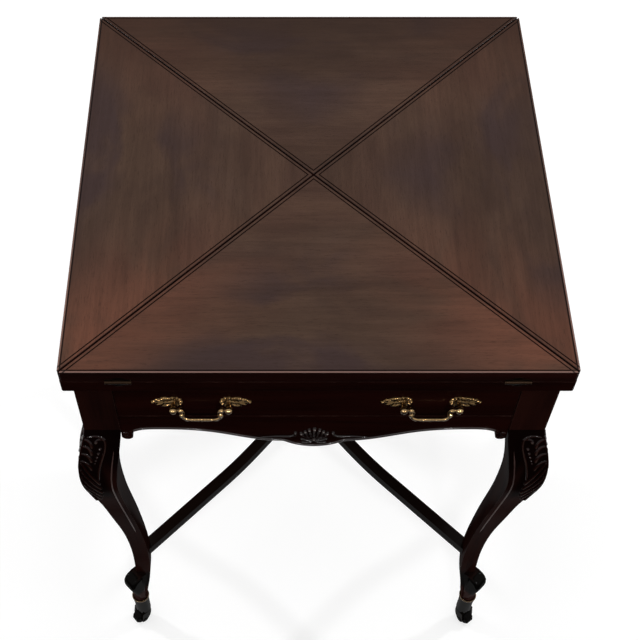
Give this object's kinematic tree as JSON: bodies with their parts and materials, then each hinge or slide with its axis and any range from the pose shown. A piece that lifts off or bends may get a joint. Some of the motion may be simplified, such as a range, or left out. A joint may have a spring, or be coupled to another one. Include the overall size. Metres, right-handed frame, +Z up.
{
  "type": "folding card table",
  "caption": "Square card table with an envelope top: triangular leaves fold out from a turning board over a frame with a drawer, cabriole legs on casters and a cross stretcher.",
  "frame": {"origin": "on the floor under the centre of the table", "axes": "+Z up, the drawer front faces -Y, +X to the right of someone facing the drawer from outside"},
  "size_m": [0.5506, 0.5506, 0.755],
  "materials": {
    "mahogany": "french polished, dark red-brown",
    "secondary_wood": "plain, unpolished",
    "baize": "felted wool",
    "hinge_brass": "dull",
    "handle_brass": "antique gilt",
    "caster_brass": "darkened",
    "steel": "dull",
    "caster_wheel": "hard rubber, polished"
  },
  "bodies": {
    "frame": {"leg_front_left": "mahogany", "leg_front_right": "mahogany", "leg_back_left": "mahogany", "leg_back_right": "mahogany", "front_apron": "mahogany", "left_apron": "mahogany", "right_apron": "mahogany", "back_apron": "mahogany", "front_top_rail": "mahogany", "sub_top": "secondary_wood", "drawer_runners": "secondary_wood", "drawer_stops": "secondary_wood", "glue_blocks": "secondary_wood", "stretcher_under": "mahogany", "stretcher_over": "mahogany", "pivot_bush": "hinge_brass", "caster_cups": "caster_brass"},
    "top": {"bed_board": "mahogany", "bed_baize": "baize", "bed_hinge_plates": "hinge_brass", "hinge_pins": "steel", "pivot_plate": "hinge_brass", "pivot_bolt": "steel", "pivot_washer": "steel", "pivot_nut": "steel", "stop_peg": "secondary_wood", "pivot_screws": "steel"},
    "drawer": {"drawer_front": "mahogany", "drawer_side_left": "secondary_wood", "drawer_side_right": "secondary_wood", "drawer_back": "secondary_wood", "drawer_bottom": "secondary_wood", "handle_roses": "handle_brass", "handle_posts": "handle_brass", "handle_nuts": "handle_brass"},
    "handle_left": {"bail_left": "handle_brass"},
    "handle_right": {"bail_right": "handle_brass"},
    "front_leaf": {"leaf_front": "mahogany", "leaf_front_baize": "baize", "leaf_front_hinge_plates": "hinge_brass"},
    "right_leaf": {"leaf_right": "mahogany", "leaf_right_baize": "baize", "leaf_right_hinge_plates": "hinge_brass"},
    "back_leaf": {"leaf_back": "mahogany", "leaf_back_baize": "baize", "leaf_back_hinge_plates": "hinge_brass"},
    "left_leaf": {"leaf_left": "mahogany", "leaf_left_baize": "baize", "leaf_left_hinge_plates": "hinge_brass"},
    "caster_front_right": {"caster_horn_front_right": "caster_brass"},
    "wheel_front_right": {"caster_wheel_front_right": "caster_wheel"},
    "caster_back_right": {"caster_horn_back_right": "caster_brass"},
    "wheel_back_right": {"caster_wheel_back_right": "caster_wheel"},
    "caster_back_left": {"caster_horn_back_left": "caster_brass"},
    "wheel_back_left": {"caster_wheel_back_left": "caster_wheel"},
    "caster_front_left": {"caster_horn_front_left": "caster_brass"},
    "wheel_front_left": {"caster_wheel_front_left": "caster_wheel"}
  },
  "joints": [
    {"name": "top_swivel", "type": "hinge", "parent": "frame", "child": "top", "pos_m": [0, 0, 0.712], "axis": [0, 0, 1], "range_deg": [0, 45]},
    {"name": "leaf_front_fold", "type": "hinge", "parent": "top", "child": "front_leaf", "pos_m": [0, -0.27, 0.7368], "axis": [1, 0, 0], "range_deg": [0, 180]},
    {"name": "leaf_right_fold", "type": "hinge", "parent": "top", "child": "right_leaf", "pos_m": [0.27, 0, 0.7368], "axis": [0, 1, 0], "range_deg": [0, 180]},
    {"name": "leaf_back_fold", "type": "hinge", "parent": "top", "child": "back_leaf", "pos_m": [0, 0.27, 0.7368], "axis": [-1, 0, 0], "range_deg": [0, 180]},
    {"name": "leaf_left_fold", "type": "hinge", "parent": "top", "child": "left_leaf", "pos_m": [-0.27, 0, 0.7368], "axis": [0, -1, 0], "range_deg": [0, 180]},
    {"name": "drawer_slide", "type": "slide", "parent": "frame", "child": "drawer", "axis": [0, -1, 0], "range_m": [0, 0.28]},
    {"name": "handle_left_lift", "type": "hinge", "parent": "drawer", "child": "handle_left", "pos_m": [-0.125, -0.2694, 0.6775], "axis": [-1, 0, 0], "range_deg": [0, 85]},
    {"name": "handle_right_lift", "type": "hinge", "parent": "drawer", "child": "handle_right", "pos_m": [0.125, -0.2694, 0.6775], "axis": [-1, 0, 0], "range_deg": [0, 85]},
    {"name": "caster_front_right_swivel", "type": "hinge", "parent": "frame", "child": "caster_front_right", "pos_m": [0.247, -0.247, 0.03], "axis": [0, 0, 1], "continuous": true},
    {"name": "wheel_front_right_spin", "type": "hinge", "parent": "caster_front_right", "child": "wheel_front_right", "pos_m": [0.25131, -0.25252, 0.0125], "axis": [0.788, 0.6157, 0], "continuous": true},
    {"name": "caster_back_right_swivel", "type": "hinge", "parent": "frame", "child": "caster_back_right", "pos_m": [0.247, 0.247, 0.03], "axis": [0, 0, 1], "continuous": true},
    {"name": "wheel_back_right_spin", "type": "hinge", "parent": "caster_back_right", "child": "wheel_back_right", "pos_m": [0.24939, 0.25358, 0.0125], "axis": [-0.9397, 0.342, 0], "continuous": true},
    {"name": "caster_back_left_swivel", "type": "hinge", "parent": "frame", "child": "caster_back_left", "pos_m": [-0.247, 0.247, 0.03], "axis": [0, 0, 1], "continuous": true},
    {"name": "wheel_back_left_spin", "type": "hinge", "parent": "caster_back_left", "child": "wheel_back_left", "pos_m": [-0.24996, 0.25334, 0.0125], "axis": [-0.9063, -0.4226, 0], "continuous": true},
    {"name": "caster_front_left_swivel", "type": "hinge", "parent": "frame", "child": "caster_front_left", "pos_m": [-0.247, -0.247, 0.03], "axis": [0, 0, 1], "continuous": true},
    {"name": "wheel_front_left_spin", "type": "hinge", "parent": "caster_front_left", "child": "wheel_front_left", "pos_m": [-0.25236, -0.2515, 0.0125], "axis": [0.6428, -0.766, 0], "continuous": true}
  ]
}
